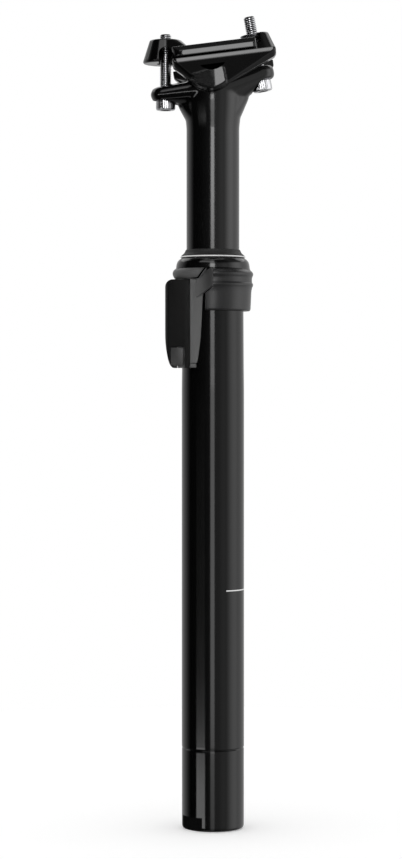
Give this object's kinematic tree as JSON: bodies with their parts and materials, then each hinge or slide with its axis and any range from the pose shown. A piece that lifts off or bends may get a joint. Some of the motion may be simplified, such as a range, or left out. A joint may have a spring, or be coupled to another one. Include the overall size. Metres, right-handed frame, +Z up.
{
  "type": "dropper seatpost",
  "caption": "Telescoping bicycle seatpost with a removable battery module on its collar, a screwed foot cap and a two-bolt tilting saddle rail clamp.",
  "frame": {"origin": "centre of the foot cap's bottom face, on the post's axis", "axes": "+Z up along the post's axis towards the saddle, -X towards the front of the bicycle (the battery's side), +Y towards the bicycle's right"},
  "size_m": [0.0582, 0.054, 0.3537],
  "materials": {
    "black_anodised": "satin black anodised",
    "matte_shell": "fine moulded texture",
    "bright_steel": "bright plated",
    "plain_steel": "ground",
    "bare_alloy": "machined",
    "pale_ring": "smooth",
    "seal_rubber": "matt",
    "bearing_polymer": "smooth",
    "yellow_metal": "machined",
    "board_green": "solder mask",
    "ribbon_film": "polyimide film",
    "lamp_lens": "clear"
  },
  "bodies": {
    "lower_body": {"lower_tube": "black_anodised", "foot_cap": "black_anodised", "foot_seal": "seal_rubber", "collar": "black_anodised", "upper_bushing": "bearing_polymer", "wiper_ring": "pale_ring", "dust_wiper": "seal_rubber", "top_out_bumper": "seal_rubber", "module_housing": "matte_shell", "housing_cover": "matte_shell", "circuit_board": "board_green", "contact_pins": "yellow_metal", "status_lens": "lamp_lens", "valve_motor": "bare_alloy", "cartridge_rod": "bright_steel", "cartridge_piston": "yellow_metal", "power_ribbon": "ribbon_film"},
    "pairing_button": {"pairing_button": "seal_rubber"},
    "valve_rod": {"valve_rod": "yellow_metal", "drive_plunger": "plain_steel"},
    "battery": {"battery_case": "matte_shell", "battery_contacts": "yellow_metal"},
    "latch": {"battery_latch": "matte_shell"},
    "post": {"upper_post": "black_anodised", "guide_keys": "yellow_metal", "lower_bushing": "bearing_polymer", "gas_cylinder": "bare_alloy", "cylinder_seal_head": "bare_alloy", "fill_valve": "yellow_metal"},
    "clamp": {"lower_clamp": "black_anodised", "upper_clamp": "black_anodised"},
    "front_bolt": {"front_bolt": "bright_steel", "front_washer": "plain_steel"},
    "rear_bolt": {"rear_bolt": "bright_steel", "rear_washer": "plain_steel"},
    "front_nut": {"front_nut": "plain_steel"},
    "rear_nut": {"rear_nut": "plain_steel"}
  },
  "joints": [
    {"name": "post_slide", "type": "slide", "parent": "lower_body", "child": "post", "axis": [0, 0, 1], "range_m": [-0.05, 0], "stiffness_N_per_m": 600, "springref_m": 0.2},
    {"name": "clamp_tilt", "type": "hinge", "parent": "post", "child": "clamp", "pos_m": [-0.0013, 0, 0.33], "axis": [0, -1, 0], "range_deg": [-8, 8]},
    {"name": "front_bolt_swing", "type": "hinge", "parent": "post", "child": "front_bolt", "pos_m": [-0.0206, 0, 0.3113], "axis": [0, -1, 0], "range_deg": [-3.9, 3.9]},
    {"name": "rear_bolt_swing", "type": "hinge", "parent": "post", "child": "rear_bolt", "pos_m": [0.02209, 0, 0.3196], "axis": [0, -1, 0], "range_deg": [-3.9, 3.9]},
    {"name": "front_nut_turn", "type": "hinge", "parent": "clamp", "child": "front_nut", "pos_m": [-0.0206, 0, 0.3442], "axis": [0, -1, 0], "range_deg": [-4.7, 4.7]},
    {"name": "rear_nut_turn", "type": "hinge", "parent": "clamp", "child": "rear_nut", "pos_m": [0.01693, 0, 0.34661], "axis": [0, -1, 0], "range_deg": [-4.7, 4.7]},
    {"name": "battery_release", "type": "slide", "parent": "lower_body", "child": "battery", "axis": [-1, 0, 0], "range_m": [0, 0.012]},
    {"name": "latch_press", "type": "slide", "parent": "battery", "child": "latch", "axis": [0, 0, -1], "range_m": [0, 0.002], "stiffness_N_per_m": 400, "springref_m": -0.001},
    {"name": "button_press", "type": "slide", "parent": "lower_body", "child": "pairing_button", "axis": [0, -1, 0], "range_m": [0, 0.0005], "stiffness_N_per_m": 600, "springref_m": -0.0003},
    {"name": "valve_push", "type": "slide", "parent": "lower_body", "child": "valve_rod", "axis": [0, 0, 1], "range_m": [0, 0.0015]}
  ],
  "couplings": [
    {"joint": "front_bolt_swing", "follows": "clamp_tilt", "ratio": 0.43175},
    {"joint": "rear_bolt_swing", "follows": "clamp_tilt", "ratio": 0.46885},
    {"joint": "front_nut_turn", "follows": "clamp_tilt", "ratio": -0.56825},
    {"joint": "rear_nut_turn", "follows": "clamp_tilt", "ratio": -0.53115}
  ]
}
